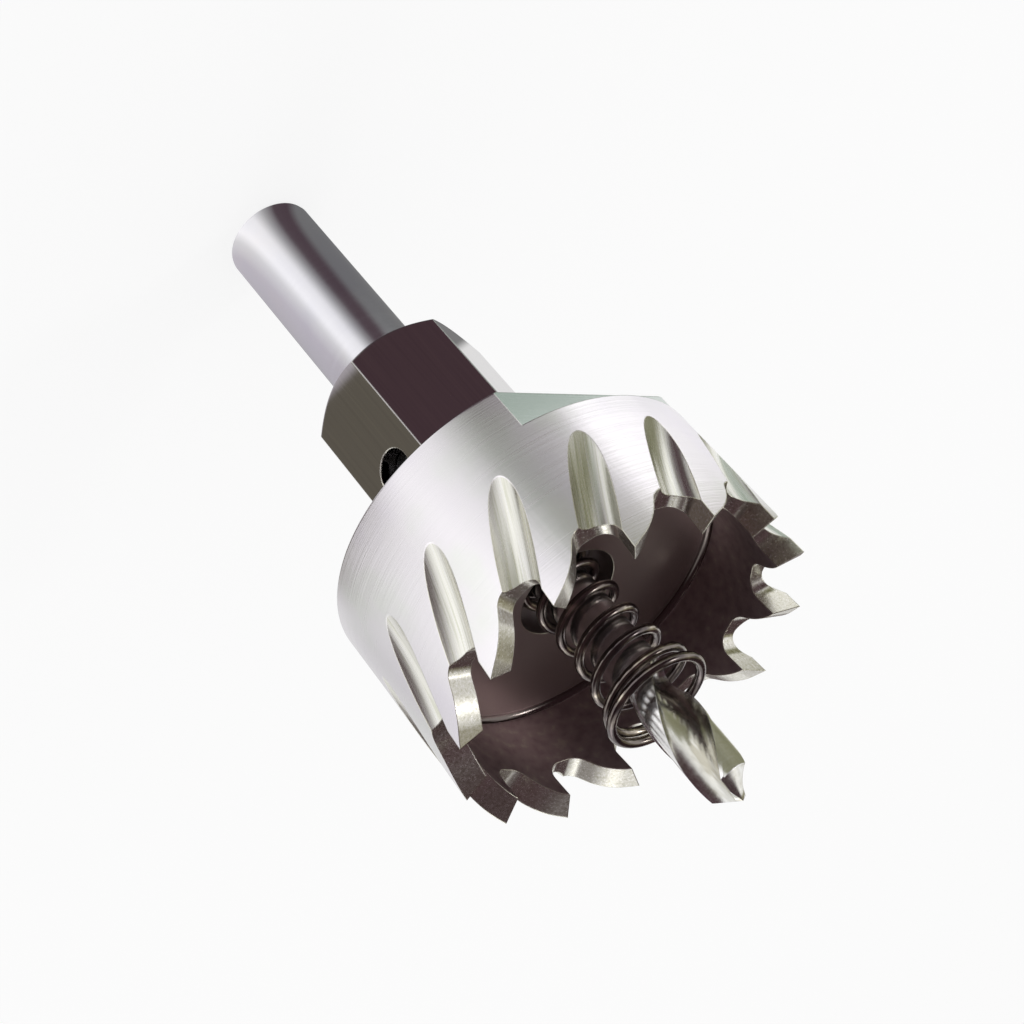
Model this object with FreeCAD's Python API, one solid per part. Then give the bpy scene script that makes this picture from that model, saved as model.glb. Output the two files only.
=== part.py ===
import FreeCAD, Part
import math
import os

# A hole saw that stands on the end of its shank, teeth up.
# Z runs along the tool's axis from the end of the shank to the drill point.
# Angles are in degrees, anticlockwise from +X seen from the teeth.
# The tool cuts as it turns anticlockwise seen from there.

# Arbor: shank, hexagon and the spigot that enters the cup
shank_diameter = 10.0
shank_length = 27.0
shank_chamfer = 0.5
hexagon_across_flats = 17.0
hexagon_length = 22.0
hexagon_face_angle = -90.0
hexagon_chamfer_inset = 0.3
hexagon_chamfer_angle = 40.0
spigot_diameter = 10.8
spigot_length = 7.0

# Cup
cup_diameter = 39.6
cutting_diameter = 40.0
cup_height = 22.7
cup_bore_diameter = 34.4
cup_floor_thickness = 10.8
cup_floor_fillet = 0.8
cup_rear_chamfer = 0.3
plain_band_height = 6.5
wrench_flat_spacing = 32.0
wrench_flat_height = 5.0
wrench_flat_angle = 54.0

# Teeth
tooth_count = 14
tooth_tip_angle = -91.0
clearance_angle = 27.0
clearance_length = 3.2
rake_angle = 4.0
gullet_depth = 4.8
gullet_half_width = 2.6
gullet_back_lean = 34.0
gullet_corner_radius = 1.7

# Flutes, each the bite of a round-nosed grinding wheel
flute_wheel_radius = 45.0
flute_nose_radius = 2.05
flute_depth = 1.25
flute_lean = 26.0
flute_deepest_height = 16.5

# Pilot drill
drill_diameter = 5.5
drill_seat_depth = 18.0
drill_reach_past_teeth = 16.8
drill_flute_length = 15.0
drill_flute_lead = 32.0
drill_flute_span = 99.0
drill_web = 1.1
drill_margin_width = 0.7
drill_land_relief = 0.15
drill_point_angle = 118.0
drill_lip_relief = 10.0
drill_lip_angle = -55.0
drill_flat_depth = 0.2
drill_flat_length = 7.0

# Ejector spring
spring_wire_diameter = 1.0
spring_coil_radius = 3.7
spring_turns = 7.3
spring_seat_turns = 0.9
spring_front_turns = 1.3
spring_length = 20.0
spring_ground_depth = 0.3
spring_flare_start = 9.0
spring_flare_radius = 1.8
spring_end_angle = 110.0
spring_easing_turns = 0.3
spring_points_per_turn = 12

# Set screw that holds the drill, through one face of the hexagon
screw_diameter = 5.0
screw_length = 4.0
screw_socket_across_flats = 2.5
screw_socket_depth = 2.0
screw_point_chamfer = 0.8
screw_drop_below_cup = 8.7
screw_hole_countersink = 0.35

# Clearances between the pieces, on the radius
spigot_clearance = 0.05
drill_clearance = 0.03
screw_clearance = 0.05

# Room that a cutting shape reaches past the piece it cuts
overshoot = 2.0

# The angle from one face of a hexagon to the next
FACE_STEP = 360.0 / 6

# How closely an edge that is looked for by its size has to match
MATCH = 0.001

# Heights and radii that follow from the sizes above
cup_base = shank_length + hexagon_length
teeth_height = cup_base + cup_height
spigot_end = cup_base + spigot_length
drill_tail = cup_base - drill_seat_depth
drill_tip = teeth_height + drill_reach_past_teeth
drill_radius = drill_diameter / 2
cup_radius = cup_diameter / 2
cutting_radius = cutting_diameter / 2
tooth_pitch = 360.0 / tooth_count
screw_height = cup_base - screw_drop_below_cup
screw_angle = hexagon_face_angle + FACE_STEP
drill_flat_radius = drill_radius - drill_flat_depth

ORIGIN = FreeCAD.Vector(0, 0, 0)
X_AXIS = FreeCAD.Vector(1, 0, 0)
Y_AXIS = FreeCAD.Vector(0, 1, 0)
Z_AXIS = FreeCAD.Vector(0, 0, 1)


def tangent(degrees):
    return math.tan(math.radians(degrees))


def cylinder(radius, bottom, top):
    return Part.makeCylinder(radius, top - bottom, FreeCAD.Vector(0, 0, bottom))


def turned(outline):
    """A solid turned about Z from corners given as radius and height."""
    corners = [FreeCAD.Vector(radius, 0, height) for radius, height in outline]
    face = Part.Face(Part.makePolygon(corners + corners[:1]))
    return face.revolve(ORIGIN, Z_AXIS, 360)


def spun(shape, degrees):
    """A copy of the shape, spun about the tool's axis."""
    return shape.rotated(ORIGIN, Z_AXIS, degrees)


def around(shape, count):
    """Copies of the shape at equal steps about the tool's axis."""
    return [spun(shape, 360.0 * step / count) for step in range(count)]


def rounded_corner(before, corner, after, radius):
    """The two ends and the middle of the arc that rounds one corner of an outline."""
    back = (before - corner).normalize()
    ahead = (after - corner).normalize()
    half_angle = back.getAngle(ahead) / 2
    reach = radius / math.tan(half_angle)
    centre = corner + (back + ahead).normalize() * (radius / math.sin(half_angle))
    middle = centre + (corner - centre).normalize() * radius
    return corner + back * reach, middle, corner + ahead * reach


def is_circle(edge, radius, height):
    """Whether the edge is the level circle of this radius about Z at this height."""
    if not isinstance(edge.Curve, Part.Circle):
        return False
    centre = edge.Curve.Center
    return abs(edge.Curve.Radius - radius) < MATCH and abs(centre.z - height) < MATCH


def hexagonal_prism(across_flats, height, face_angle):
    """A prism on the XY plane, with the middle of one face at face_angle."""
    corner_radius = across_flats / math.sqrt(3)
    corners = []
    for step in range(7):
        angle = math.radians(face_angle + FACE_STEP * (step + 0.5))
        corners.append(FreeCAD.Vector(math.cos(angle), math.sin(angle), 0) * corner_radius)
    return Part.Face(Part.makePolygon(corners)).extrude(Z_AXIS * height)


# Cup

def cup_blank():
    """The turned cup: plain band, slight taper out to the teeth, bore with a rounded corner."""
    hole_radius = spigot_diameter / 2 + spigot_clearance
    bore_radius = cup_bore_diameter / 2
    floor = cup_base + cup_floor_thickness
    outline = [
        (hole_radius, cup_base),
        (cup_radius - cup_rear_chamfer, cup_base),
        (cup_radius, cup_base + cup_rear_chamfer),
        (cup_radius, cup_base + plain_band_height),
        (cutting_radius, teeth_height),
        (bore_radius, teeth_height),
        (bore_radius, floor),
        (hole_radius, floor),
    ]
    blank = turned(outline)
    corner = [edge for edge in blank.Edges if is_circle(edge, bore_radius, floor)]
    return blank.makeFillet(cup_floor_fillet, corner)


def wrench_flats():
    """The two blocks of metal that the wrench flats take off the rear of the cup."""
    width = cup_diameter + overshoot
    block = Part.makeBox(
        cup_radius,
        width,
        wrench_flat_height + overshoot,
        FreeCAD.Vector(wrench_flat_spacing / 2, -width / 2, cup_base - overshoot),
    )
    return around(spun(block, wrench_flat_angle), 2)


def flute_wheel():
    """The nose of the grinding wheel at the deepest point of the flute behind one tooth tip."""
    lean = math.radians(flute_lean)
    centre = FreeCAD.Vector(
        cup_radius - flute_depth + flute_wheel_radius, 0, cup_base + flute_deepest_height
    )
    wheel_axis = FreeCAD.Vector(0, -math.cos(lean), math.sin(lean))
    nose = Part.makeTorus(
        flute_wheel_radius - flute_nose_radius, flute_nose_radius, centre, wheel_axis
    )
    return spun(nose, tooth_tip_angle)


def gullet():
    """The space ahead of one tooth: its rake face, a round root, and the next tooth's back."""
    rake_offset = math.degrees(math.asin(gullet_half_width / cutting_radius))
    next_tip = cutting_radius * math.sin(math.radians(tooth_pitch - rake_offset))
    root = teeth_height - gullet_depth
    clearance_end = next_tip - clearance_length
    clearance_low = teeth_height - clearance_length * tangent(clearance_angle)
    back_foot = clearance_end - (clearance_low - root) * tangent(gullet_back_lean)
    above = teeth_height + overshoot
    outline = [
        (-gullet_half_width + overshoot * tangent(rake_angle), above),
        (-gullet_half_width - gullet_depth * tangent(rake_angle), root),
        (back_foot, root),
        (clearance_end, clearance_low),
        (next_tip + overshoot, teeth_height + overshoot * tangent(clearance_angle)),
        (next_tip + overshoot, above),
    ]
    inner = cup_bore_diameter / 2 * math.cos(math.radians(tooth_pitch)) - overshoot
    points = [FreeCAD.Vector(inner, along, height) for along, height in outline]
    wall_end, wall_middle, floor_start = rounded_corner(
        points[0], points[1], points[2], gullet_corner_radius
    )
    floor_end, back_middle, back_start = rounded_corner(
        points[1], points[2], points[3], gullet_corner_radius
    )
    edges = [
        Part.LineSegment(points[0], wall_end),
        Part.Arc(wall_end, wall_middle, floor_start),
        Part.LineSegment(floor_start, floor_end),
        Part.Arc(floor_end, back_middle, back_start),
        Part.LineSegment(back_start, points[3]),
        Part.LineSegment(points[3], points[4]),
        Part.LineSegment(points[4], points[5]),
        Part.LineSegment(points[5], points[0]),
    ]
    profile = Part.Face(Part.Wire([edge.toShape() for edge in edges]))
    reach = cutting_radius + overshoot - inner
    return spun(profile.extrude(X_AXIS * reach), tooth_tip_angle + rake_offset)


def cutter_cup():
    cup = cup_blank().cut(wrench_flats())
    cup = cup.cut(around(flute_wheel(), tooth_count))
    return cup.cut(around(gullet(), tooth_count))


# Arbor

def screw_hole():
    """The hole across the hexagon for the set screw, opened a little at its mouth."""
    face_radius = hexagon_across_flats / 2
    hole_radius = screw_diameter / 2
    mouth_radius = hole_radius + screw_hole_countersink
    place = FreeCAD.Vector(0, 0, screw_height)
    hole = Part.makeCylinder(hole_radius, face_radius + overshoot, place, X_AXIS)
    mouth_start = FreeCAD.Vector(face_radius - screw_hole_countersink, 0, screw_height)
    mouth = Part.makeCone(hole_radius, mouth_radius, screw_hole_countersink, mouth_start, X_AXIS)
    return spun(hole.fuse(mouth), screw_angle)


def chamfered_hexagon():
    """The hexagon, its corners turned down at the end that faces the chuck."""
    outside = hexagon_across_flats
    start = hexagon_across_flats / 2 - hexagon_chamfer_inset
    rise = (outside - start) * tangent(hexagon_chamfer_angle)
    envelope = turned(
        [
            (0, shank_length),
            (start, shank_length),
            (outside, shank_length + rise),
            (outside, cup_base + rise),
            (0, cup_base + rise),
        ]
    )
    prism = hexagonal_prism(hexagon_across_flats, hexagon_length, hexagon_face_angle)
    prism.translate(Z_AXIS * shank_length)
    return prism.common(envelope)


def arbor():
    shank_radius = shank_diameter / 2
    shank = turned(
        [
            (0, 0),
            (shank_radius - shank_chamfer, 0),
            (shank_radius, shank_chamfer),
            (shank_radius, shank_length + overshoot),
            (0, shank_length + overshoot),
        ]
    )
    spigot = cylinder(spigot_diameter / 2, cup_base - overshoot, spigot_end)
    body = chamfered_hexagon().fuse([shank, spigot])
    drill_bore = cylinder(drill_radius + drill_clearance, drill_tail, spigot_end + overshoot)
    return body.cut([drill_bore, screw_hole()]).removeSplitter()


# Pilot drill

def drill_blank():
    """The round drill, square at both ends, with the flat that the set screw bears on."""
    flat = Part.makeBox(
        drill_radius,
        drill_diameter,
        drill_flat_length,
        FreeCAD.Vector(drill_flat_radius, -drill_radius, screw_height - drill_flat_length / 2),
    )
    return cylinder(drill_radius, drill_tail, drill_tip).cut(spun(flat, screw_angle))


def point_waste():
    """What grinding takes off above one flank: a cone, tipped down behind its lip."""
    reach = drill_diameter
    waste = turned(
        [
            (0, drill_tip),
            (reach, drill_tip - reach / tangent(drill_point_angle / 2)),
            (reach, drill_tip + overshoot),
            (0, drill_tip + overshoot),
        ]
    )
    waste.rotate(Z_AXIS * drill_tip, X_AXIS, drill_lip_relief)
    return spun(waste, drill_lip_angle)


def helical_sweep(section, radius):
    """A section beside the +X axis, swept up a right-hand helix past the flute's length."""
    helix = Part.makeHelix(drill_flute_lead, drill_flute_length + overshoot, radius)
    return helix.makePipeShell([section], True, True)


def set_on_drill(sweep, angle):
    """The sweep, lifted to the foot of the flutes.

    It is turned so that it comes to this angle where the point meets the full width.
    """
    bottom = drill_tip - drill_flute_length
    corner = drill_tip - drill_radius / tangent(drill_point_angle / 2)
    lifted = sweep.translated(Z_AXIS * bottom)
    return spun(lifted, angle - 360.0 * (corner - bottom) / drill_flute_lead)


def drill_flute():
    """One flute, sized so that its mouth spans the named angle and leaves the web."""
    half_span = math.radians(drill_flute_span / 2)
    web_radius = drill_web / 2
    mouth = drill_radius * math.cos(half_span)
    offset = (drill_radius**2 - web_radius**2) / (2 * (mouth - web_radius))
    radius = offset - web_radius
    centre = FreeCAD.Vector(offset, 0, 0)
    heading = FreeCAD.Vector(0, 1, drill_flute_lead / (2 * math.pi * offset))
    section = Part.Wire(Part.makeCircle(radius, centre, heading))
    flute = helical_sweep(section, offset).fuse(Part.makeSphere(radius, centre))
    return set_on_drill(flute, drill_lip_angle + drill_flute_span / 2)


def land_relief():
    """What is ground off one land behind its margin, so that only the margin rubs."""
    margin = math.degrees(drill_margin_width / drill_radius)
    heel = -180.0 + drill_flute_span / 2
    inner = drill_radius - drill_land_relief
    outer = drill_radius + overshoot
    near = Part.makeCircle(inner, ORIGIN, Z_AXIS, heel, -margin)
    far = Part.makeCircle(outer, ORIGIN, Z_AXIS, heel, -margin)
    heel_side = Part.makeLine(near.Vertexes[0].Point, far.Vertexes[0].Point)
    margin_side = Part.makeLine(far.Vertexes[1].Point, near.Vertexes[1].Point)
    section = Part.Wire([near, margin_side, far, heel_side])
    return set_on_drill(helical_sweep(section, outer), drill_lip_angle)


def pilot_drill():
    waste = around(point_waste(), 2) + around(drill_flute(), 2) + around(land_relief(), 2)
    return drill_blank().cut(waste)


# Ejector spring

def eased_share(turn):
    """How much of the open turns lies below this turn, from 0 to 1, eased at both ends."""
    open_turns = spring_turns - spring_seat_turns - spring_front_turns
    share = (turn - spring_seat_turns) / open_turns
    ease = spring_easing_turns / open_turns
    if share <= -ease:
        return 0.0
    if share < ease:
        return (share + ease) ** 2 / (4 * ease)
    if share <= 1 - ease:
        return share
    if share < 1 + ease:
        return 1 - (1 + ease - share) ** 2 / (4 * ease)
    return 1.0


def spring_centre(turn):
    """The middle of the wire after this many turns from the seat."""
    closed_rise = spring_wire_diameter * turn
    open_length = spring_length - spring_wire_diameter * (spring_turns + 1) + spring_ground_depth
    height = closed_rise + open_length * eased_share(turn)
    height += spring_wire_diameter / 2 - spring_ground_depth
    full_flare = spring_length - spring_wire_diameter / 2 - spring_flare_start
    flare = max(0.0, height - spring_flare_start) / full_flare
    radius = spring_coil_radius + spring_flare_radius * flare**2
    angle = math.radians(spring_end_angle - 360.0 * (spring_turns - turn))
    return FreeCAD.Vector(
        radius * math.cos(angle), radius * math.sin(angle), spigot_end + height
    )


def ejector_spring():
    """A right-hand coil that flares towards its free end, its seated end ground flat."""
    count = int(spring_turns * spring_points_per_turn)
    points = [spring_centre(spring_turns * step / count) for step in range(count + 1)]
    path = Part.BSplineCurve()
    path.interpolate(points)
    spine = Part.Wire(path.toShape())
    start = path.value(path.FirstParameter)
    heading = path.tangent(path.FirstParameter)[0]
    section = Part.Wire(Part.makeCircle(spring_wire_diameter / 2, start, heading))
    coil = spine.makePipeShell([section], True, True)
    ground = cylinder(cup_radius, spigot_end - overshoot, spigot_end)
    return coil.cut(ground)


# Set screw

def set_screw():
    """The screw on its side, its flat point on the drill and its socket facing out."""
    point = drill_flat_radius
    head = point + screw_length
    radius = screw_diameter / 2 - screw_clearance
    body = turned(
        [
            (0, point),
            (radius - screw_point_chamfer, point),
            (radius, point + screw_point_chamfer),
            (radius, head),
            (0, head),
        ]
    )
    socket = hexagonal_prism(screw_socket_across_flats, screw_socket_depth + overshoot, 0)
    socket.translate(Z_AXIS * (head - screw_socket_depth))
    screw = body.cut(socket)
    screw.rotate(ORIGIN, Y_AXIS, 90)
    screw.translate(Z_AXIS * screw_height)
    return spun(screw, screw_angle)


os.makedirs("parts", exist_ok=True)
pieces = {
    "cutter_cup": cutter_cup(),
    "arbor": arbor(),
    "pilot_drill": pilot_drill(),
    "ejector_spring": ejector_spring(),
    "set_screw": set_screw(),
}
for name, shape in pieces.items():
    shape.exportStep(f"parts/{name}.step")
    print(name, len(shape.Solids), round(shape.Volume, 1), shape.isValid())
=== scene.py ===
import math

import bpy
from mathutils import Matrix, Quaternion, Vector


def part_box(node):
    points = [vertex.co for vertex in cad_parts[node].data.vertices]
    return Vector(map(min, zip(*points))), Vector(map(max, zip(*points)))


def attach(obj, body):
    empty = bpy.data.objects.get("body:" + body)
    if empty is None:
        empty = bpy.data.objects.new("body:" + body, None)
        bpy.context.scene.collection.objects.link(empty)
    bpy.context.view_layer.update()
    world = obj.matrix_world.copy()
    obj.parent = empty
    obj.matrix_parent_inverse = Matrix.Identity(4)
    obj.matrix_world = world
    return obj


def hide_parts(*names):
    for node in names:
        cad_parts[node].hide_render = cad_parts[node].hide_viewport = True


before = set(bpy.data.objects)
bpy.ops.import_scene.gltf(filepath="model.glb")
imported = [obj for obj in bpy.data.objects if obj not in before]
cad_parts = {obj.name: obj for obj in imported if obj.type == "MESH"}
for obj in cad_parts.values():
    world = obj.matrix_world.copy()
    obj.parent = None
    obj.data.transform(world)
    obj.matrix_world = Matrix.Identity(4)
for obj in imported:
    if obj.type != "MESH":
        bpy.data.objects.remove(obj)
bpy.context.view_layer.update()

# Units and the saw's own sizes, in metres
MM = 0.001
CUP_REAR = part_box("cutter_cup")[0].z
CUP_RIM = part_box("cutter_cup")[1].z
SAW_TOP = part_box("pilot_drill")[1].z
FLOOR_HEIGHT = CUP_REAR + 10.8 * MM
BAND_TOP = CUP_REAR + 6.5 * MM
BORE_RADIUS = 17.2 * MM
FLOOR_FILLET = 0.8 * MM
REAR_ROUNDING = 0.3 * MM
CUP_RADIUS = 19.8 * MM
RIM_RADIUS = 20.0 * MM
SPIGOT_RADIUS = 5.4 * MM
SPIGOT_HOLE_RADIUS = 5.45 * MM
SPIGOT_END = CUP_REAR + 7 * MM
SHANK_RADIUS = 5 * MM
SHANK_TOP = 27 * MM
SHANK_END_ROUNDING = 0.5 * MM
HEXAGON_ACROSS_FLATS = 17 * MM
HEXAGON_END_INSET = 0.3 * MM
HEXAGON_END_ANGLE = 40.0
WRENCH_FLAT_ANGLE = 54.0
WRENCH_FLAT_DISTANCE = 16 * MM
WRENCH_FLAT_HEIGHT = 5 * MM
DRILL_HOLE_RADIUS = 2.78 * MM
DRILL_TAIL = CUP_REAR - 18 * MM
DRILL_FLAT_RADIUS = 2.55 * MM
SCREW_HEIGHT = CUP_REAR - 8.7 * MM
SCREW_ANGLE = -30.0
SCREW_RADIUS = 2.45 * MM
SCREW_LENGTH = 4 * MM
SCREW_POINT_CHAMFER = 0.8 * MM
SCREW_SOCKET = 2.5 * MM
SCREW_SOCKET_DEPTH = 2 * MM
SCREW_HOLE_RADIUS = 2.5 * MM

# Teeth, gullets and flutes
TOOTH_COUNT = 14
TOOTH_PITCH = 360.0 / TOOTH_COUNT
TOOTH_TIP_ANGLE = -91.0
CLEARANCE_ANGLE = 27.0
CLEARANCE_LENGTH = 3.2 * MM
RAKE_ANGLE = 4.0
GULLET_DEPTH = 4.8 * MM
GULLET_HALF_WIDTH = 2.6 * MM
GULLET_BACK_LEAN = 34.0
GULLET_CORNER_RADIUS = 1.7 * MM
TOOTH_BACK_ROUNDING = 1.8 * MM
FLUTE_WHEEL_RADIUS = 45 * MM
FLUTE_NOSE_RADIUS = 2.05 * MM
FLUTE_DEPTH = 1.25 * MM
FLUTE_LEAN = 26.0
FLUTE_DEEPEST = CUP_REAR + 16.5 * MM

# Ejector spring
WIRE = 1 * MM
COIL_RADIUS = 3.7 * MM
SPRING_TURNS = 7.3
SPRING_SEAT_TURNS = 0.9
SPRING_FRONT_TURNS = 1.3
SPRING_LENGTH = 20 * MM
SPRING_GROUND_DEPTH = 0.3 * MM
SPRING_FLARE_START = 9 * MM
SPRING_FLARE_RADIUS = 1.8 * MM
SPRING_END_ANGLE = 110.0
SPRING_EASING_TURNS = 0.3

# The photograph's camera: its angle, its lens, and where it holds the rear of the cup
VIEW_AZIMUTH = -70.0
VIEW_ELEVATION = 32.843
VIEW_ROLL = 139.775
LENS = 80.47
SENSOR = 36.0
REAR_RIGHT_OF_CENTRE = -0.431 * MM
REAR_ABOVE_CENTRE = -0.873 * MM
REAR_DISTANCE = 229.179 * MM


# Camera

def direction(azimuth, elevation):
    """A unit vector from angles in degrees, azimuth anticlockwise from +X."""
    flat = math.cos(math.radians(elevation))
    return Vector((
        flat * math.cos(math.radians(azimuth)),
        flat * math.sin(math.radians(azimuth)),
        math.sin(math.radians(elevation)),
    ))


def add_camera():
    towards = -direction(VIEW_AZIMUTH, VIEW_ELEVATION)
    turn = towards.to_track_quat("-Z", "Y") @ Quaternion((0, 0, 1), math.radians(VIEW_ROLL))
    rear = Vector((REAR_RIGHT_OF_CENTRE, REAR_ABOVE_CENTRE, -REAR_DISTANCE))
    camera = bpy.data.cameras.new("camera")
    camera.lens = LENS
    camera.sensor_width = SENSOR
    camera.clip_start = 0.01
    camera.clip_end = 20.0
    holder = bpy.data.objects.new("camera", camera)
    holder.location = Vector((0, 0, CUP_REAR)) - turn @ rear
    holder.rotation_mode = "QUATERNION"
    holder.rotation_quaternion = turn
    bpy.context.scene.collection.objects.link(holder)
    bpy.context.scene.camera = holder


# Small helpers for the modelling

def select_only(piece):
    if bpy.context.object and bpy.context.object.mode != "OBJECT":
        bpy.ops.object.mode_set(mode="OBJECT")
    bpy.ops.object.select_all(action="DESELECT")
    piece.select_set(True)
    bpy.context.view_layer.objects.active = piece


def pick(piece, kind, test):
    """Goes into edit mode with only the vertices, edges or faces that pass the test selected.

    A vertex is tested by its place, an edge by its two ends, and a face by its middle and normal.
    """
    select_only(piece)
    mesh = piece.data
    for items in (mesh.vertices, mesh.edges, mesh.polygons):
        for item in items:
            item.select = False
    places = [vertex.co for vertex in mesh.vertices]
    if kind == "VERT":
        for vertex in mesh.vertices:
            vertex.select = test(vertex.co)
    elif kind == "EDGE":
        for edge in mesh.edges:
            edge.select = all(test(places[end]) for end in edge.vertices)
    else:
        for face in mesh.polygons:
            face.select = test(face.center, face.normal)
    bpy.ops.object.mode_set(mode="EDIT")
    bpy.ops.mesh.select_mode(type=kind)


def pick_all(piece):
    select_only(piece)
    bpy.ops.object.mode_set(mode="EDIT")
    bpy.ops.mesh.select_all(action="SELECT")


def leave_edit():
    bpy.ops.object.mode_set(mode="OBJECT")


def settle(piece, place):
    """Puts the piece in its place and works that place into its mesh."""
    piece.matrix_world = place
    select_only(piece)
    bpy.ops.object.transform_apply(location=True, rotation=True, scale=True)


def spun(degrees):
    return Matrix.Rotation(math.radians(degrees), 4, "Z")


def on_ring(radius, height):
    """A test for points at this radius and height, to a hundredth of a millimetre."""
    return lambda point: (
        abs(math.hypot(point.x, point.y) - radius) < 0.02 * MM
        and abs(point.z - height) < 0.01 * MM
    )


def all_round(piece, count, first_angle):
    """Copies of the piece at equal steps about the tool's axis, each with its own mesh."""
    copies = []
    for step in range(count):
        copy = piece.copy()
        copy.data = piece.data.copy()
        bpy.context.scene.collection.objects.link(copy)
        settle(copy, spun(first_angle + 360.0 * step / count))
        copies.append(copy)
    bpy.data.objects.remove(piece)
    return copies


def combine(piece, tool, how):
    """Cuts the tool out of the piece, joins it on or keeps what they share."""
    step = piece.modifiers.new("combine", "BOOLEAN")
    step.operation = how
    step.solver = "EXACT"
    step.object = tool
    select_only(piece)
    bpy.ops.object.modifier_apply(modifier="combine")
    bpy.data.objects.remove(tool)


def cut(piece, tools):
    for tool in tools:
        combine(piece, tool, "DIFFERENCE")


def rod(name, radius, bottom, top, sides):
    bpy.ops.object.select_all(action="DESELECT")
    bpy.ops.mesh.primitive_cylinder_add(vertices=sides, radius=radius, depth=top - bottom)
    piece = bpy.context.object
    piece.name = name
    settle(piece, Matrix.Translation((0, 0, (bottom + top) / 2)))
    return piece


def break_edges(piece, width, angle):
    """Rounds every edge sharper than the angle, and shades the large faces true."""
    pick_all(piece)
    bpy.ops.mesh.remove_doubles(threshold=0.003 * MM)
    bpy.ops.mesh.dissolve_degenerate(threshold=0.003 * MM)
    leave_edit()
    rounding = piece.modifiers.new("broken_edges", "BEVEL")
    rounding.width = width
    rounding.segments = 2
    rounding.limit_method = "ANGLE"
    rounding.angle_limit = math.radians(angle)
    rounding.use_clamp_overlap = False
    select_only(piece)
    bpy.ops.object.modifier_apply(modifier="broken_edges")
    shade_true(piece, 35)


def shade_true(piece, angle):
    """Smooth shading up to the angle, with the large faces keeping their own direction."""
    select_only(piece)
    bpy.ops.object.shade_smooth_by_angle(angle=math.radians(angle))
    weighted = piece.modifiers.new("true_faces", "WEIGHTED_NORMAL")
    weighted.mode = "FACE_AREA_WITH_ANGLE"
    weighted.keep_sharp = True
    bpy.ops.object.modifier_apply(modifier="true_faces")


def hand_over(piece, node, material):
    """The piece stands for the node, moves with the saw and wears the material."""
    piece.data.materials.clear()
    piece.data.materials.append(material)
    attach(piece, "root")
    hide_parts(node)


# Cup

def turned_cup():
    """A round bar, bored out, its outside tapered a little towards the rim."""
    cup = rod("toothed_cup", CUP_RADIUS, CUP_REAR, CUP_RIM, 252)
    pick_all(cup)
    bpy.ops.mesh.bisect(plane_co=(0, 0, BAND_TOP), plane_no=(0, 0, 1))
    pick(cup, "VERT", lambda point: point.z > CUP_RIM - 0.01 * MM)
    flare = RIM_RADIUS / CUP_RADIUS
    bpy.ops.transform.resize(value=(flare, flare, 1), center_override=(0, 0, CUP_RIM))
    pick(cup, "FACE", lambda middle, normal: normal.z > 0.9 and middle.z > BAND_TOP)
    bpy.ops.mesh.inset(thickness=RIM_RADIUS - BORE_RADIUS)
    bpy.ops.mesh.extrude_region_move(
        TRANSFORM_OT_translate={"value": (0, 0, FLOOR_HEIGHT - CUP_RIM)}
    )
    bpy.ops.mesh.inset(thickness=BORE_RADIUS - SPIGOT_HOLE_RADIUS)
    bpy.ops.mesh.delete(type="FACE")
    pick(cup, "FACE", lambda middle, normal: normal.z < -0.9)
    bpy.ops.mesh.inset(thickness=CUP_RADIUS - SPIGOT_HOLE_RADIUS)
    bpy.ops.mesh.delete(type="FACE")
    hole_ends = (on_ring(SPIGOT_HOLE_RADIUS, FLOOR_HEIGHT), on_ring(SPIGOT_HOLE_RADIUS, CUP_REAR))
    pick(cup, "EDGE", lambda point: any(test(point) for test in hole_ends))
    bpy.ops.mesh.bridge_edge_loops()
    pick(cup, "EDGE", on_ring(BORE_RADIUS, FLOOR_HEIGHT))
    bpy.ops.mesh.bevel(offset=FLOOR_FILLET, segments=8, profile=0.5, affect="EDGES")
    pick(cup, "EDGE", on_ring(CUP_RADIUS, CUP_REAR))
    bpy.ops.mesh.bevel(offset=REAR_ROUNDING, segments=8, profile=0.5, affect="EDGES")
    leave_edit()
    return cup


def wrench_flat_blocks():
    """What the two wrench flats take off the rear of the cup."""
    blocks = []
    for angle in (WRENCH_FLAT_ANGLE, WRENCH_FLAT_ANGLE + 180):
        bpy.ops.object.select_all(action="DESELECT")
        bpy.ops.mesh.primitive_cube_add(size=1.0)
        block = bpy.context.object
        deep, wide, tall = 20 * MM, 44 * MM, WRENCH_FLAT_HEIGHT + 2 * MM
        middle = Matrix.Translation(
            (WRENCH_FLAT_DISTANCE + deep / 2, 0, CUP_REAR + WRENCH_FLAT_HEIGHT - tall / 2)
        )
        settle(block, spun(angle) @ middle @ Matrix.Diagonal((deep, wide, tall, 1)))
        blocks.append(block)
    return blocks


def flute_wheel():
    """The part of the grinding wheel's round nose that comes near the cup.

    The spin turns clockwise about the axle, so it starts from the far end.
    """
    lean = math.radians(FLUTE_LEAN)
    centre = Vector((CUP_RADIUS - FLUTE_DEPTH + FLUTE_WHEEL_RADIUS, 0, FLUTE_DEEPEST))
    axle = Vector((0, -math.cos(lean), math.sin(lean)))
    bpy.ops.object.select_all(action="DESELECT")
    bpy.ops.mesh.primitive_circle_add(vertices=48, radius=FLUTE_NOSE_RADIUS, fill_type="NOTHING")
    wheel = bpy.context.object
    nose = Matrix.Translation((FLUTE_NOSE_RADIUS - FLUTE_WHEEL_RADIUS, 0, 0))
    start = Matrix.Rotation(math.radians(20), 4, axle)
    settle(wheel, Matrix.Translation(centre) @ start @ nose @ Matrix.Rotation(-lean, 4, "X"))
    pick_all(wheel)
    bpy.ops.mesh.spin(steps=48, angle=math.radians(40), center=centre, axis=axle)
    bpy.ops.mesh.select_all(action="SELECT")
    bpy.ops.mesh.fill_holes(sides=0)
    bpy.ops.mesh.normals_make_consistent(inside=False)
    leave_edit()
    return all_round(wheel, TOOTH_COUNT, TOOTH_TIP_ANGLE)


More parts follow.
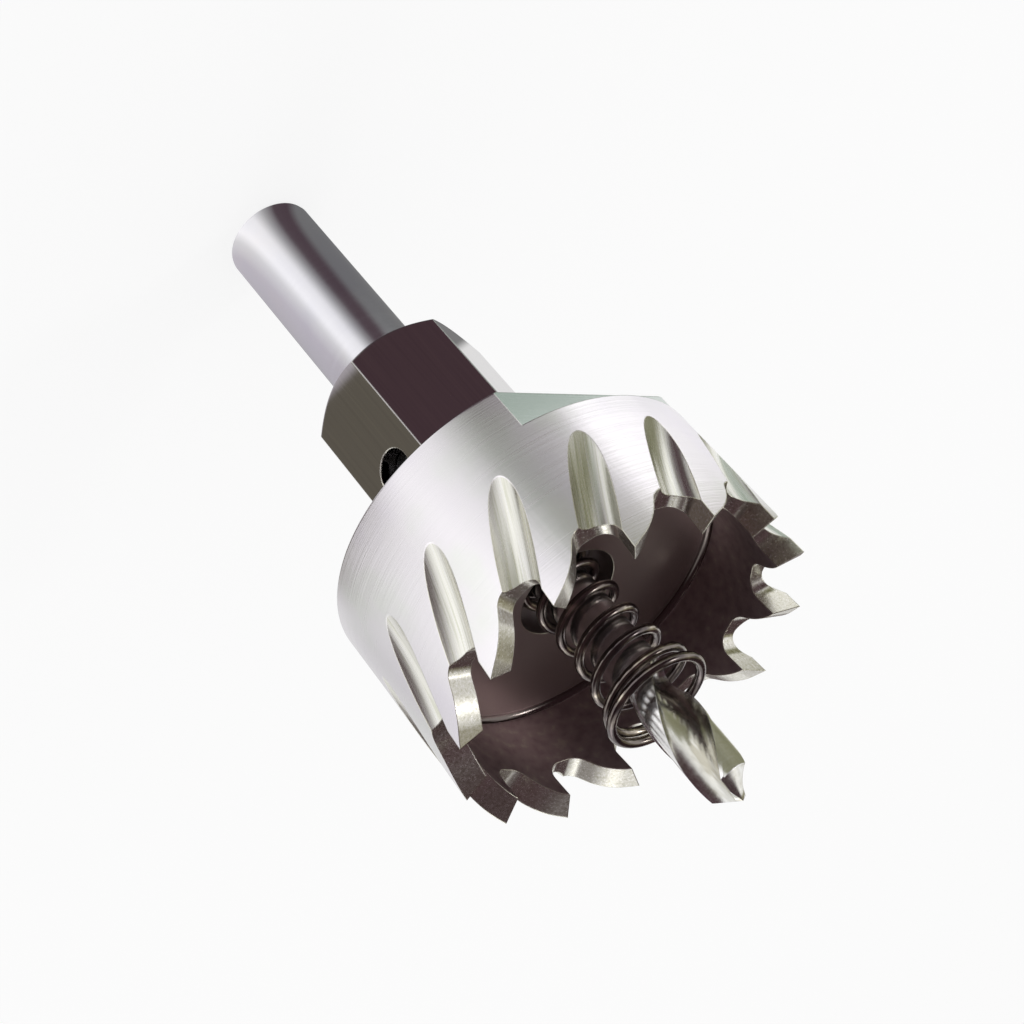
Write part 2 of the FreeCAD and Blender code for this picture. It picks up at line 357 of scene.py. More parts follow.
def gullet_cutters():
    """The space ahead of each tooth: its rake face, a round root, and the next tooth's back."""
    rake = math.tan(math.radians(RAKE_ANGLE))
    clearance = math.tan(math.radians(CLEARANCE_ANGLE))
    rake_offset = math.degrees(math.asin(GULLET_HALF_WIDTH / RIM_RADIUS))
    next_tip = RIM_RADIUS * math.sin(math.radians(TOOTH_PITCH - rake_offset))
    root = CUP_RIM - GULLET_DEPTH
    clearance_end = next_tip - CLEARANCE_LENGTH
    clearance_low = CUP_RIM - CLEARANCE_LENGTH * clearance
    back_foot = clearance_end - (clearance_low - root) * math.tan(math.radians(GULLET_BACK_LEAN))
    above = 2 * MM
    outline = (
        (-GULLET_HALF_WIDTH + above * rake, CUP_RIM + above),
        (-GULLET_HALF_WIDTH - GULLET_DEPTH * rake, root),
        (back_foot, root),
        (clearance_end, clearance_low),
        (next_tip + above, CUP_RIM + above * clearance),
        (next_tip + above, CUP_RIM + above),
    )
    inner = BORE_RADIUS * math.cos(math.radians(TOOTH_PITCH)) - above
    bpy.ops.object.select_all(action="DESELECT")
    bpy.ops.mesh.primitive_circle_add(vertices=6, radius=MM, fill_type="NGON")
    gullet = bpy.context.object
    for vertex, (along, height) in zip(gullet.data.vertices, outline):
        vertex.co = (inner, along, height)
    roundings = (
        (outline[1], GULLET_CORNER_RADIUS / math.tan(math.radians((90 - RAKE_ANGLE) / 2))),
        (outline[2], GULLET_CORNER_RADIUS / math.tan(math.radians((90 + GULLET_BACK_LEAN) / 2))),
        (outline[3], TOOTH_BACK_ROUNDING),
    )
    for (along, height), reach in roundings:
        corner = Vector((inner, along, height))
        pick(gullet, "VERT", lambda point: (point - corner).length < 0.01 * MM)
        bpy.ops.mesh.bevel(offset=reach, segments=10, profile=0.5, affect="VERTICES")
    pick_all(gullet)
    bpy.ops.mesh.extrude_region_move(
        TRANSFORM_OT_translate={"value": (RIM_RADIUS + above - inner, 0, 0)}
    )
    bpy.ops.mesh.select_all(action="SELECT")
    bpy.ops.mesh.normals_make_consistent(inside=False)
    leave_edit()
    return all_round(gullet, TOOTH_COUNT, TOOTH_TIP_ANGLE + rake_offset)


def toothed_cup(material):
    cup = turned_cup()
    cut(cup, wrench_flat_blocks())
    cut(cup, flute_wheel())
    cut(cup, gullet_cutters())
    pick_all(cup)
    bpy.ops.mesh.remove_doubles(threshold=0.003 * MM)
    bpy.ops.mesh.dissolve_degenerate(threshold=0.003 * MM)
    leave_edit()
    shade_true(cup, 12.5)
    hand_over(cup, "cutter_cup", material)


# Arbor and set screw

def hexagon_bar():
    """The hexagon, its corners turned down at the end that faces the chuck."""
    bar = rod("hexagon_arbor", HEXAGON_ACROSS_FLATS / math.sqrt(3), SHANK_TOP, CUP_REAR, 6)
    settle(bar, spun(30))
    start = HEXAGON_ACROSS_FLATS / 2 - HEXAGON_END_INSET
    rise = (HEXAGON_ACROSS_FLATS - start) * math.tan(math.radians(HEXAGON_END_ANGLE))
    bpy.ops.object.select_all(action="DESELECT")
    bpy.ops.mesh.primitive_cone_add(
        vertices=192, radius1=start, radius2=HEXAGON_ACROSS_FLATS, depth=rise
    )
    turning = bpy.context.object
    settle(turning, Matrix.Translation((0, 0, SHANK_TOP + rise / 2)))
    pick(turning, "FACE", lambda middle, normal: normal.z > 0.9)
    bpy.ops.mesh.extrude_region_move(TRANSFORM_OT_translate={"value": (0, 0, 20 * MM)})
    leave_edit()
    combine(bar, turning, "INTERSECT")
    return bar


def set_screw_hole():
    hole = rod("screw_hole", SCREW_HOLE_RADIUS, 0, 11 * MM, 64)
    pick(hole, "FACE", lambda middle, normal: normal.z > 0.9)
    bpy.ops.transform.translate(value=(0, 0, -2.5 * MM))
    bpy.ops.mesh.extrude_region_move(TRANSFORM_OT_translate={"value": (0, 0, 1 * MM)})
    bpy.ops.transform.resize(value=(1.4, 1.4, 1))
    leave_edit()
    return hole


def lay_across(piece):
    """Turns a piece that stands on the origin so that it points out at the set screw's place."""
    settle(piece, spun(SCREW_ANGLE) @ Matrix.Translation((0, 0, SCREW_HEIGHT))
           @ Matrix.Rotation(math.radians(90), 4, "Y"))


def hexagon_arbor(material):
    arbor = hexagon_bar()
    shank = rod("shank", SHANK_RADIUS, 0, SHANK_TOP + 1 * MM, 160)
    pick(shank, "EDGE", on_ring(SHANK_RADIUS, 0))
    bpy.ops.mesh.bevel(offset=SHANK_END_ROUNDING, segments=3, profile=0.5, affect="EDGES")
    leave_edit()
    combine(arbor, shank, "UNION")
    combine(arbor, rod("spigot", SPIGOT_RADIUS, CUP_REAR - 1 * MM, SPIGOT_END, 128), "UNION")
    cut(arbor, [rod("drill_hole", DRILL_HOLE_RADIUS, DRILL_TAIL, SPIGOT_END + 1 * MM, 96)])
    hole = set_screw_hole()
    lay_across(hole)
    cut(arbor, [hole])
    break_edges(arbor, 0.1 * MM, 30)
    hand_over(arbor, "arbor", material)


def socket_set_screw(material):
    screw = rod(
        "socket_set_screw", SCREW_RADIUS, DRILL_FLAT_RADIUS, DRILL_FLAT_RADIUS + SCREW_LENGTH, 64
    )
    pick(screw, "FACE", lambda middle, normal: normal.z > 0.9)
    bpy.ops.mesh.inset(thickness=0.3 * MM)
    pick(screw, "EDGE", on_ring(SCREW_RADIUS, DRILL_FLAT_RADIUS))
    bpy.ops.mesh.bevel(offset=SCREW_POINT_CHAMFER, segments=1, affect="EDGES")
    leave_edit()
    socket = rod(
        "socket", SCREW_SOCKET / math.sqrt(3),
        DRILL_FLAT_RADIUS + SCREW_LENGTH - SCREW_SOCKET_DEPTH, DRILL_FLAT_RADIUS + SCREW_LENGTH + 1 * MM, 6,
    )
    cut(screw, [socket])
    lay_across(screw)
    break_edges(screw, 0.06 * MM, 30)
    hand_over(screw, "set_screw", material)


# Ejector spring

def eased_share(turn):
    """How much of the open turns lies below this turn, from 0 to 1, eased at both ends."""
    open_turns = SPRING_TURNS - SPRING_SEAT_TURNS - SPRING_FRONT_TURNS
    share = (turn - SPRING_SEAT_TURNS) / open_turns
    ease = SPRING_EASING_TURNS / open_turns
    if share <= -ease:
        return 0.0
    if share < ease:
        return (share + ease) ** 2 / (4 * ease)
    if share <= 1 - ease:
        return share
    if share < 1 + ease:
        return 1 - (1 + ease - share) ** 2 / (4 * ease)
    return 1.0


def wire_centre(turn):
    """The middle of the wire after this many turns from the seat."""
    open_length = SPRING_LENGTH - WIRE * (SPRING_TURNS + 1) + SPRING_GROUND_DEPTH
    height = WIRE * turn + open_length * eased_share(turn) + WIRE / 2 - SPRING_GROUND_DEPTH
    full_flare = SPRING_LENGTH - WIRE / 2 - SPRING_FLARE_START
    flare = max(0.0, height - SPRING_FLARE_START) / full_flare
    radius = COIL_RADIUS + SPRING_FLARE_RADIUS * flare ** 2
    angle = math.radians(SPRING_END_ANGLE - 360.0 * (SPRING_TURNS - turn))
    return Vector((radius * math.cos(angle), radius * math.sin(angle), SPIGOT_END + height))


def flared_spring(material):
    """A coiled wire with its seated end ground flat and its free end cut square."""
    bpy.ops.object.select_all(action="DESELECT")
    bpy.ops.curve.primitive_nurbs_path_add()
    spring = bpy.context.object
    spring.name = "flared_spring"
    wire = spring.data
    wire.splines.clear()
    steps = int(SPRING_TURNS * 48)
    line = wire.splines.new("POLY")
    line.points.add(steps)
    for step, point in enumerate(line.points):
        point.co = (*wire_centre(SPRING_TURNS * step / steps), 1.0)
    wire.bevel_depth = WIRE / 2
    wire.bevel_resolution = 6
    wire.use_fill_caps = True
    bpy.ops.object.convert(target="MESH")
    spring = bpy.context.object
    pick_all(spring)
    bpy.ops.mesh.remove_doubles(threshold=0.001 * MM)
    bpy.ops.mesh.bisect(
        plane_co=(0, 0, SPIGOT_END), plane_no=(0, 0, 1),
        use_fill=True, clear_inner=True, threshold=0.0001 * MM,
    )
    bpy.ops.mesh.select_all(action="SELECT")
    bpy.ops.mesh.normals_make_consistent(inside=False)
    leave_edit()
    bpy.ops.object.shade_smooth_by_angle(angle=math.radians(40))
    hand_over(spring, "ejector_spring", material)


# Small helpers for the materials

def new_material(name, metallic, roughness):
    material = bpy.data.materials.new(name)
    material.use_nodes = True
    shader = material.node_tree.nodes["Principled BSDF"]
    shader.inputs["Metallic"].default_value = metallic
    shader.inputs["Roughness"].default_value = roughness
    return material, material.node_tree, shader


def put(tree, kind, **settings):
    made = tree.nodes.new("ShaderNode" + kind)
    for name, value in settings.items():
        setattr(made, name, value)
    return made


def feed(tree, socket, value):
    """Links an output to the socket, or sets a plain number on it."""
    if isinstance(value, bpy.types.NodeSocket):
        tree.links.new(value, socket)
    else:
        socket.default_value = value


def calculate(tree, operation, first, second=0.0):
    made = put(tree, "Math", operation=operation)
    feed(tree, made.inputs[0], first)
    feed(tree, made.inputs[1], second)
    return made.outputs[0]


def fade(tree, value, start, end):
    """0 where the value is at start or before, 1 from end on, smooth between."""
    made = put(tree, "MapRange", interpolation_type="SMOOTHSTEP")
    feed(tree, made.inputs["Value"], value)
    made.inputs["From Min"].default_value = start
    made.inputs["From Max"].default_value = end
    return made.outputs["Result"]


def blend_colours(tree, share, first, second):
    made = put(tree, "Mix", data_type="RGBA")
    feed(tree, made.inputs["Factor"], share)
    for socket, value in ((made.inputs[6], first), (made.inputs[7], second)):
        if isinstance(value, bpy.types.NodeSocket):
            tree.links.new(value, socket)
        else:
            socket.default_value = (*value, 1.0)
    return made.outputs[2]


def blend_numbers(tree, share, first, second):
    made = put(tree, "Mix", data_type="FLOAT")
    feed(tree, made.inputs["Factor"], share)
    feed(tree, made.inputs[2], first)
    feed(tree, made.inputs[3], second)
    return made.outputs[0]


def spread(tree, vector, stops, interpolation="EASE"):
    """A colour ramp of (position, colour) stops."""
    made = put(tree, "ValToRGB")
    made.color_ramp.interpolation = interpolation
    elements = made.color_ramp.elements
    while len(elements) < len(stops):
        elements.new(0.5)
    for element, (position, colour) in zip(elements, stops):
        element.position = position
        element.color = (*colour, 1.0)
    feed(tree, made.inputs["Fac"], vector)
    return made.outputs["Color"]


def grey(value):
    return (value, value, value)


def noise(tree, vector, stretch, detail=2.0, roughness=0.5):
    """Noise on the vector times the three stretches, each one over a feature's length."""
    scaled = put(tree, "VectorMath", operation="MULTIPLY")
    feed(tree, scaled.inputs[0], vector)
    scaled.inputs[1].default_value = stretch
    made = put(tree, "TexNoise")
    made.inputs["Scale"].default_value = 1.0
    made.inputs["Detail"].default_value = detail
    made.inputs["Roughness"].default_value = roughness
    tree.links.new(scaled.outputs[0], made.inputs["Vector"])
    return made.outputs["Fac"]


class Place:
    """Where a point of the surface is, and which way it faces, on the tool's own axis."""

    def __init__(self, tree):
        coordinates = put(tree, "TexCoord")
        self.point = coordinates.outputs["Object"]
        split = put(tree, "SeparateXYZ")
        tree.links.new(self.point, split.inputs[0])
        self.height = split.outputs["Z"]
        flat = put(tree, "CombineXYZ")
        tree.links.new(split.outputs["X"], flat.inputs["X"])
        tree.links.new(split.outputs["Y"], flat.inputs["Y"])
        length = put(tree, "VectorMath", operation="LENGTH")
        tree.links.new(flat.outputs[0], length.inputs[0])
        self.radius = length.outputs["Value"]
        outward = put(tree, "VectorMath", operation="NORMALIZE")
        tree.links.new(flat.outputs[0], outward.inputs[0])
        facing = put(tree, "VectorMath", operation="DOT_PRODUCT")
        tree.links.new(outward.outputs[0], facing.inputs[0])
        tree.links.new(coordinates.outputs["Normal"], facing.inputs[1])
        self.outward = facing.outputs["Value"]
        turn = put(tree, "TexGradient", gradient_type="RADIAL")
        tree.links.new(self.point, turn.inputs["Vector"])
        self.turn = turn.outputs["Fac"]


def soft_edges(tree, shader, height, distance, rounding):
    """Bump from the height over softly broken edges, and where those edges are, from 0 to 1."""
    edge = put(tree, "Bevel", samples=6)
    edge.inputs["Radius"].default_value = rounding
    bump = put(tree, "Bump")
    bump.inputs["Distance"].default_value = distance
    tree.links.new(height, bump.inputs["Height"])
    tree.links.new(edge.outputs["Normal"], bump.inputs["Normal"])
    tree.links.new(bump.outputs["Normal"], shader.inputs["Normal"])
    flat = put(tree, "NewGeometry")
    same = put(tree, "VectorMath", operation="DOT_PRODUCT")
    tree.links.new(edge.outputs["Normal"], same.inputs[0])
    tree.links.new(flat.outputs["Normal"], same.inputs[1])
    return fade(tree, same.outputs["Value"], 0.995, 0.9)


# Materials

def ground_cup_steel():
    """Bright ground outside, flutes darker along the wheel lines, partly as painted shade, grained teeth,
    and a bore painted dark as painted shade.
    """
    material, tree, shader = new_material("ground_cup_steel", 1.0, 0.25)
    place = Place(tree)
    lean = math.radians(FLUTE_LEAN)

    arc = calculate(tree, "MULTIPLY", place.turn, 2 * math.pi * CUP_RADIUS)
    across = calculate(
        tree, "SUBTRACT",
        calculate(tree, "MULTIPLY", arc, math.cos(lean)),
        calculate(tree, "MULTIPLY", place.height, math.sin(lean)),
    )
    along = calculate(
        tree, "ADD",
        calculate(tree, "MULTIPLY", arc, math.sin(lean)),
        calculate(tree, "MULTIPLY", place.height, math.cos(lean)),
    )
    unrolled = put(tree, "CombineXYZ")
    tree.links.new(across, unrolled.inputs["X"])
    tree.links.new(along, unrolled.inputs["Y"])
    wheel_lines = noise(tree, unrolled.outputs[0], (5200.0, 110.0, 1.0), detail=3.0)
    turned_lines = noise(tree, place.point, (70.0, 70.0, 6500.0), detail=3.0)
    grain = noise(tree, place.point, (3600.0, 3600.0, 3600.0), detail=4.0, roughness=0.75)
    clouds = noise(tree, place.point, (110.0, 110.0, 80.0), detail=3.0)

    taper = calculate(
        tree, "MULTIPLY",
        calculate(tree, "SUBTRACT", place.height, BAND_TOP),
        (RIM_RADIUS - CUP_RADIUS) / (CUP_RIM - BAND_TOP),
    )
    skin = calculate(tree, "ADD", calculate(tree, "MAXIMUM", taper, 0.0), CUP_RADIUS)
    depth = calculate(tree, "SUBTRACT", skin, place.radius)
    in_flute = calculate(
        tree, "MULTIPLY",
        fade(tree, depth, 0.01 * MM, 0.06 * MM),
        calculate(
            tree, "MULTIPLY",
            fade(tree, place.outward, 0.3, 0.45),
            fade(tree, place.height, CUP_REAR + 5.5 * MM, CUP_REAR + 6 * MM),
        ),
    )
    on_tooth = calculate(
        tree, "MULTIPLY",
        fade(tree, place.radius, BORE_RADIUS + 0.02 * MM, BORE_RADIUS + 0.08 * MM),
        calculate(
            tree, "MULTIPLY",
            fade(tree, place.outward, 0.45, 0.3),
            fade(tree, place.height, CUP_REAR + 14 * MM, CUP_REAR + 15 * MM),
        ),
    )
    in_bore = calculate(
        tree, "MULTIPLY",
        fade(tree, place.radius, BORE_RADIUS + 0.05 * MM, BORE_RADIUS + 0.02 * MM),
        fade(tree, place.height, CUP_REAR + 1 * MM, CUP_REAR + 2 * MM),
    )

    skin_tint = spread(tree, clouds, (
        (0.3, (0.83, 0.79, 0.85)), (0.5, (0.86, 0.83, 0.86)), (0.7, (0.82, 0.83, 0.80)),
    ))
    # Partly painted shade: the flutes are painted darker and olive in places, following the wheel lines.
    flute_tint = spread(tree, wheel_lines, (
        (0.3, (0.58, 0.58, 0.50)), (0.5, (0.73, 0.72, 0.67)), (0.75, (0.82, 0.81, 0.79)),
    ))
    tooth_tint = spread(tree, grain, (
        (0.3, (0.48, 0.46, 0.36)), (0.5, (0.70, 0.68, 0.61)), (0.68, (0.86, 0.84, 0.81)),
    ))
    # Painted shade: the inside of the cup is painted dark plum-brown, mottled with a fine noise.
    bore_painted_shade = spread(tree, noise(tree, place.point, (900.0, 900.0, 900.0), detail=4.0), (
        (0.3, (0.34, 0.25, 0.265)), (0.55, (0.42, 0.325, 0.335)), (0.75, (0.52, 0.44, 0.41)),
    ))
    on_flat = calculate(
        tree, "MULTIPLY",
        fade(tree, place.outward, 0.5, 0.6),
        calculate(
            tree, "MULTIPLY",
            fade(tree, depth, 0.02 * MM, 0.06 * MM),
            fade(tree, place.height, CUP_REAR + 5.1 * MM, CUP_REAR + 4.9 * MM),
        ),
    )
    colour = blend_colours(tree, in_flute, skin_tint, flute_tint)
    colour = blend_colours(tree, on_tooth, colour, tooth_tint)
    # Painted shade on the bore's floor, a little lighter than on its wall.
    on_floor = fade(tree, place.height, FLOOR_HEIGHT + 0.1 * MM, FLOOR_HEIGHT + 0.05 * MM)
    bore_painted_shade = blend_colours(tree, on_floor, bore_painted_shade, (0.40, 0.34, 0.32))
    at_fillet = calculate(
        tree, "MULTIPLY", in_bore,
        calculate(
            tree, "MULTIPLY",
            fade(tree, place.radius, BORE_RADIUS - 0.7 * MM, BORE_RADIUS - 0.6 * MM),
            fade(tree, place.height, FLOOR_HEIGHT + 0.6 * MM, FLOOR_HEIGHT + 0.5 * MM),
        ),
    )
    # Painted shade: the fillet where the bore's floor meets its wall is painted darker still, so only the
    # lamp's glint lights it.
    bore_painted_shade = blend_colours(tree, at_fillet, bore_painted_shade, (0.16, 0.135, 0.125))
    colour = blend_colours(tree, in_bore, colour, bore_painted_shade)
    # Painted reflection: the wrench flats are tinted pale green-grey, the colour of the boards they mirror,
    # varied with the grain.
    flat_painted_reflection = blend_colours(tree, grain, (0.52, 0.56, 0.54), (0.70, 0.73, 0.71))
    colour = blend_colours(tree, on_flat, colour, flat_painted_reflection)

    gloss = blend_numbers(tree, turned_lines, 0.14, 0.34)
    gloss = blend_numbers(tree, in_flute, gloss, blend_numbers(tree, wheel_lines, 0.16, 0.36))
    gloss = blend_numbers(tree, on_tooth, gloss, blend_numbers(tree, grain, 0.16, 0.34))
    gloss = blend_numbers(tree, in_bore, gloss, blend_numbers(tree, grain, 0.3, 0.5))
    gloss = blend_numbers(tree, at_fillet, gloss, 0.12)
    gloss = blend_numbers(tree, on_flat, gloss, 0.22)
    tree.links.new(gloss, shader.inputs["Roughness"])

    relief = blend_numbers(tree, in_flute, turned_lines, wheel_lines)
    relief = blend_numbers(tree, on_tooth, relief, blend_numbers(tree, 0.04, 0.5, grain))
    relief = blend_numbers(tree, in_bore, relief, grain)
    edges = soft_edges(tree, shader, relief, 0.005 * MM, 0.15 * MM)
    edges = calculate(tree, "MULTIPLY", edges, 0.8)
    # Painted highlight: the broken edges are painted a pale cream-yellow.
    colour = blend_colours(tree, edges, colour, (0.84, 0.82, 0.66))
    tree.links.new(colour, shader.inputs["Base Color"])
    return material


def arbor_steel():
    """A centreless-ground shank and drawn hexagon faces."""
    material, tree, shader = new_material("arbor_steel", 1.0, 0.25)
    place = Place(tree)
    ground_lines = noise(tree, place.point, (70.0, 70.0, 7000.0), detail=3.0)
    drawn_lines = noise(tree, place.point, (3200.0, 3200.0, 60.0), detail=3.0)
    clouds = noise(tree, place.point, (160.0, 160.0, 90.0), detail=3.0)
    on_hexagon = calculate(
        tree, "MULTIPLY",
        fade(tree, place.height, SHANK_TOP - 0.1 * MM, SHANK_TOP),
        fade(tree, place.radius, SHANK_RADIUS + 0.1 * MM, SHANK_RADIUS + 0.2 * MM),
    )
    shank_tint = spread(tree, clouds, (
        (0.3, (0.78, 0.77, 0.83)), (0.5, (0.82, 0.81, 0.85)), (0.7, (0.84, 0.82, 0.84)),
    ))
    hexagon_tint = spread(tree, drawn_lines, (
        (0.3, (0.52, 0.50, 0.50)), (0.5, (0.55, 0.53, 0.53)), (0.7, (0.58, 0.56, 0.55)),
    ))
    colour = blend_colours(tree, on_hexagon, shank_tint, hexagon_tint)
    gloss = blend_numbers(
        tree, on_hexagon,
        blend_numbers(tree, ground_lines, 0.12, 0.32),
        blend_numbers(tree, drawn_lines, 0.03, 0.07),
    )
    tree.links.new(gloss, shader.inputs["Roughness"])
    relief = blend_numbers(tree, on_hexagon, ground_lines, drawn_lines)
    edges = soft_edges(tree, shader, relief, 0.002 * MM, 0.2 * MM)
    # Painted highlight: the broken edges are painted a pale cream-yellow.
    colour = blend_colours(tree, edges, colour, (0.84, 0.81, 0.68))
    tree.links.new(colour, shader.inputs["Base Color"])
    return material


def drill_steel():
    """Bright ground lands, with streaky flutes painted darker and olive, as painted shade in the grooves.
    """
    material, tree, shader = new_material("drill_steel", 1.0, 0.2)
    place = Place(tree)
    ground_lines = noise(tree, place.point, (90.0, 90.0, 8000.0), detail=3.0)
    streaks = noise(tree, place.point, (900.0, 900.0, 160.0), detail=3.0)
    in_flute = fade(tree, place.radius, 2.58 * MM, 2.5 * MM)
    land_tint = spread(tree, streaks, (
        (0.3, (0.74, 0.73, 0.72)), (0.6, (0.86, 0.85, 0.85)),
    ))
    # Painted shade: the flutes are painted darker than the lands, with olive streaks.
    flute_tint = spread(tree, streaks, (
        (0.3, (0.45, 0.43, 0.36)), (0.5, (0.70, 0.69, 0.64)), (0.7, (0.86, 0.86, 0.84)),
    ))
    colour = blend_colours(tree, in_flute, land_tint, flute_tint)
    tree.links.new(colour, shader.inputs["Base Color"])
    tree.links.new(blend_numbers(tree, ground_lines, 0.1, 0.3), shader.inputs["Roughness"])
    soft_edges(tree, shader, ground_lines, 0.004 * MM, 0.06 * MM)
    return material


def spring_steel():
    """Dark drawn wire, with fine die lines and painted highlights as bright cream spots."""
    material, tree, shader = new_material("spring_steel", 1.0, 0.25)
    place = Place(tree)
    drawn = noise(tree, place.point, (1800.0, 1800.0, 4200.0), detail=3.0)
    painted_glint_spots = noise(tree, place.point, (420.0, 420.0, 420.0), detail=2.0)
    # Painted highlight: scattered bright cream spots on the dark wire.
    tint = spread(tree, painted_glint_spots, (
        (0.35, (0.13, 0.11, 0.11)), (0.55, (0.22, 0.19, 0.17)), (0.7, (0.62, 0.56, 0.46)),
    ))
    tree.links.new(tint, shader.inputs["Base Color"])
    tree.links.new(blend_numbers(tree, drawn, 0.12, 0.24), shader.inputs["Roughness"])
    soft_edges(tree, shader, drawn, 0.004 * MM, 0.03 * MM)
    return material


def black_screw_steel():
    """Black oxide, its tone varying a little with a fine grain."""
    material, tree, shader = new_material("black_screw_steel", 1.0, 0.4)
    place = Place(tree)
    grain = noise(tree, place.point, (2400.0, 2400.0, 2400.0), detail=3.0)
    tint = spread(tree, grain, ((0.35, grey(0.02)), (0.7, grey(0.06))))
    tree.links.new(tint, shader.inputs["Base Color"])
    tree.links.new(blend_numbers(tree, grain, 0.3, 0.5), shader.inputs["Roughness"])
    soft_edges(tree, shader, grain, 0.004 * MM, 0.08 * MM)
    return material


def dress(node, material):
    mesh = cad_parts[node].data
    mesh.materials.clear()
    mesh.materials.append(material)


# Floor, surroundings and lamps

# The colours of the boards and walls, which only the metal's reflections see
DARK_BOARD = (0.08, 0.05, 0.055)
DARK_WALL = (0.07, 0.04, 0.045)
PLUM = (0.09, 0.055, 0.065)
PALE_GREEN = (0.47, 0.54, 0.49)
DEEP_OLIVE = (0.17, 0.155, 0.125)
OLIVE = (0.24, 0.24, 0.15)
LIGHT_OLIVE = (0.3, 0.3, 0.2)
WALL_OLIVE = (0.36, 0.34, 0.24)


def colours_by_azimuth(tree, turn, stops):
    """A colour for each azimuth in degrees, from -180 to 180, out of (azimuth, colour) stops."""
    around = [((azimuth + 180.0) / 360.0, colour) for azimuth, colour in stops]
    return spread(tree, turn, around, "LINEAR")


def add_floor():
    """A pale table, which the metal reflects as if boards lay in rings round the saw."""
    bpy.ops.mesh.primitive_plane_add(size=6.0, location=(0, 0, 0))
    floor = bpy.context.object
    floor.name = "floor"
    material, tree, shader = new_material("pale_table", 0.0, 0.9)
    shader.inputs["Base Color"].default_value = (0.95, 0.95, 0.95, 1.0)
    place = Place(tree)
    round_shank = colours_by_azimuth(tree, place.turn, (
        (-180, grey(0.18)), (-142, grey(0.18)), (-126, (0.08, 0.055, 0.065)),
        (-104, (0.09, 0.065, 0.075)), (-88, grey(0.4)), (-70, grey(1.0)), (-44, grey(1.15)),
        (-28, grey(0.8)), (0, (0.6, 0.57, 0.61)), (60, (0.5, 0.48, 0.51)), (100, grey(0.4)),
        (150, grey(0.2)), (180, grey(0.18)),
    ))
    round_hexagon = colours_by_azimuth(tree, place.turn, (
        (-180, PALE_GREEN), (-150, PALE_GREEN), (-136, grey(0.9)), (-124, PLUM), (-94, PLUM),
        (-66, grey(1.0)), (-40, grey(1.0)), (-20, DEEP_OLIVE), (26, DEEP_OLIVE), (50, grey(0.8)),
        (140, grey(0.9)), (158, PALE_GREEN), (180, PALE_GREEN),
    ))
    round_cup = colours_by_azimuth(tree, place.turn, (
        (-180, grey(1.15)), (-140, grey(1.55)), (-127, grey(0.75)), (-106, grey(0.5)),
        (-88, (0.38, 0.42, 0.36)), (-65, grey(0.9)), (-45, grey(1.15)), (0, grey(1.0)),
        (50, grey(0.65)), (90, grey(0.8)), (180, grey(1.1)),
    ))
    far_off = colours_by_azimuth(tree, place.turn, (
        (-180, OLIVE), (-92, (0.26, 0.26, 0.17)), (-76, grey(1.4)), (-20, grey(1.4)),
        (20, grey(0.95)), (80, grey(0.95)), (94, DARK_BOARD), (118, DARK_BOARD),
        (126, (0.7, 0.7, 0.6)), (136, (0.5, 0.5, 0.4)), (146, OLIVE), (180, OLIVE),
    ))
    horizon = colours_by_azimuth(tree, place.turn, (
        (-180, LIGHT_OLIVE), (-122, LIGHT_OLIVE), (-104, grey(1.2)), (0, grey(1.2)),
        (30, grey(0.95)), (160, grey(0.95)), (180, LIGHT_OLIVE),
    ))
    mirrored = round_shank
    for start, end, ring in (
        (40.5, 43, round_hexagon), (84, 90, round_cup), (128, 144, far_off), (380, 480, horizon),
    ):
        mirrored = blend_colours(tree, fade(tree, place.radius, start * MM, end * MM), mirrored, ring)
    seen = put(tree, "LightPath")
    glow = put(tree, "Emission")
    tree.links.new(
        blend_colours(tree, seen.outputs["Is Camera Ray"], mirrored, grey(1.0)),
        glow.inputs["Color"],
    )
    to_camera = calculate(tree, "MULTIPLY", seen.outputs["Is Camera Ray"], 0.8)
    share = calculate(tree, "MAXIMUM", seen.outputs["Is Glossy Ray"], to_camera)
    mix = put(tree, "MixShader")
    tree.links.new(share, mix.inputs["Fac"])
    tree.links.new(shader.outputs["BSDF"], mix.inputs[1])
    tree.links.new(glow.outputs["Emission"], mix.inputs[2])
    tree.links.new(mix.outputs["Shader"], tree.nodes["Material Output"].inputs["Surface"])
    floor.data.materials.append(material)


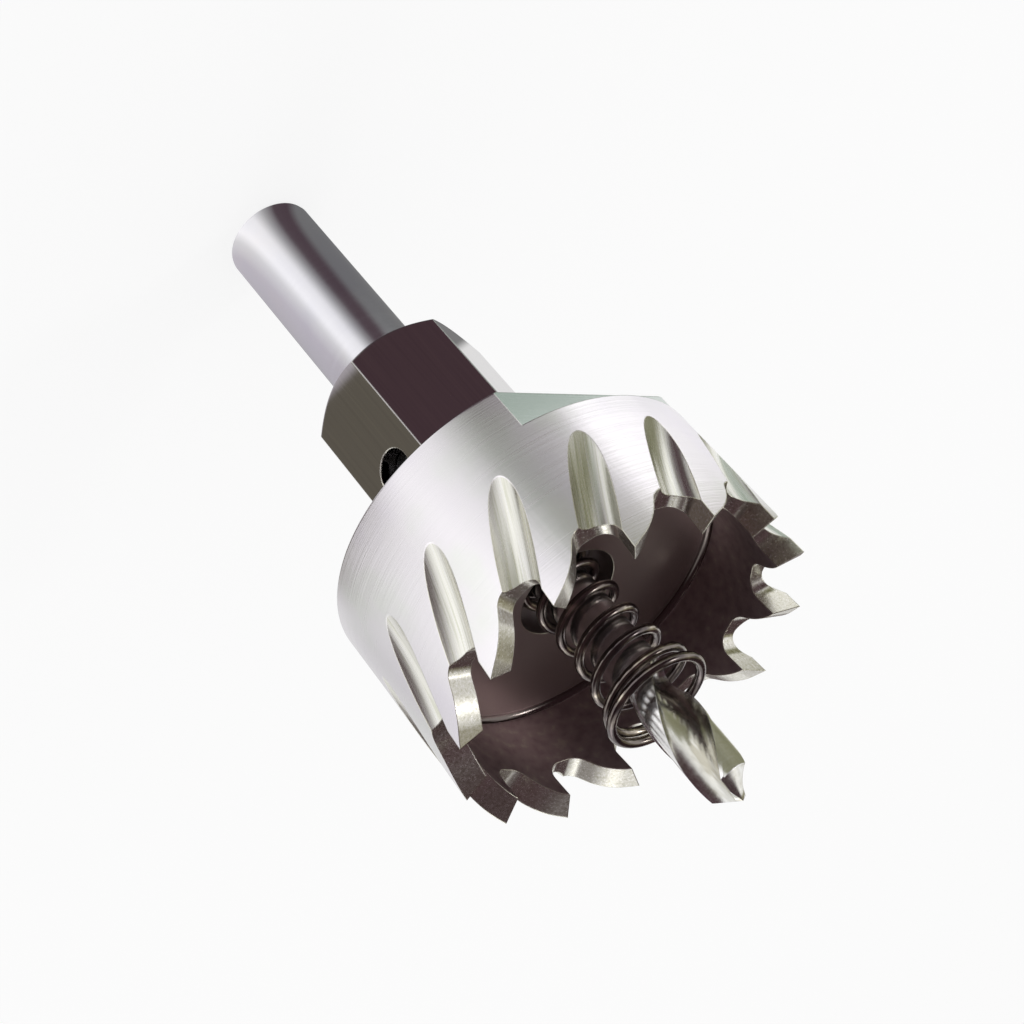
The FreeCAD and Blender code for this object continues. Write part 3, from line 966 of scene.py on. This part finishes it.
def add_world():
    """A dim room with two tall windows for the metal, and white for the camera."""
    world = bpy.data.worlds.new("studio")
    bpy.context.scene.world = world
    world.use_nodes = True
    tree = world.node_tree
    background = tree.nodes["Background"]
    coordinates = put(tree, "TexCoord")
    split = put(tree, "SeparateXYZ")
    tree.links.new(coordinates.outputs["Generated"], split.inputs[0])
    turn = put(tree, "TexGradient", gradient_type="RADIAL")
    tree.links.new(coordinates.outputs["Generated"], turn.inputs["Vector"])
    walls = colours_by_azimuth(tree, turn.outputs["Fac"], (
        (-180, grey(0.98)), (-164, grey(0.98)), (-152, (0.08, 0.045, 0.055)), (26, DARK_WALL),
        (40, grey(0.75)), (88, grey(0.75)), (100, DARK_WALL), (134, DARK_WALL),
        (142, WALL_OLIVE), (154, WALL_OLIVE), (162, grey(0.98)), (180, grey(0.98)),
    ))
    room = blend_colours(tree, fade(tree, split.outputs["Z"], 0.09, 0.18), grey(1.0), walls)
    room = blend_colours(tree, fade(tree, split.outputs["Z"], 0.79, 0.88), room, (0.06, 0.035, 0.04))
    seen = put(tree, "LightPath")
    mirrored = blend_colours(tree, seen.outputs["Is Glossy Ray"], grey(0.8), room)
    tree.links.new(
        blend_colours(tree, seen.outputs["Is Camera Ray"], mirrored, grey(1.0)),
        background.inputs["Color"],
    )


def add_lamp(name, azimuth, elevation, distance, width, height, watts):
    """A soft box that faces the middle of the saw."""
    lamp = bpy.data.lights.new(name, "AREA")
    lamp.shape = "RECTANGLE"
    lamp.size = width
    lamp.size_y = height
    lamp.energy = watts
    holder = bpy.data.objects.new(name, lamp)
    aim = Vector((0, 0, SAW_TOP / 2))
    holder.location = aim + direction(azimuth, elevation) * distance
    holder.rotation_euler = (aim - holder.location).to_track_quat("-Z", "Y").to_euler()
    bpy.context.scene.collection.objects.link(holder)


bpy.ops.object.select_all(action="DESELECT")
bpy.context.scene.view_settings.view_transform = "Standard"
add_camera()
add_floor()
add_world()
add_lamp("key", -165, 46, 0.6, 0.08, 0.08, 0.25)
add_lamp("fill", 60, 30, 0.7, 0.3, 0.3, 0.4)
toothed_cup(ground_cup_steel())
hexagon_arbor(arbor_steel())
socket_set_screw(black_screw_steel())
dress("pilot_drill", drill_steel())
flared_spring(spring_steel())
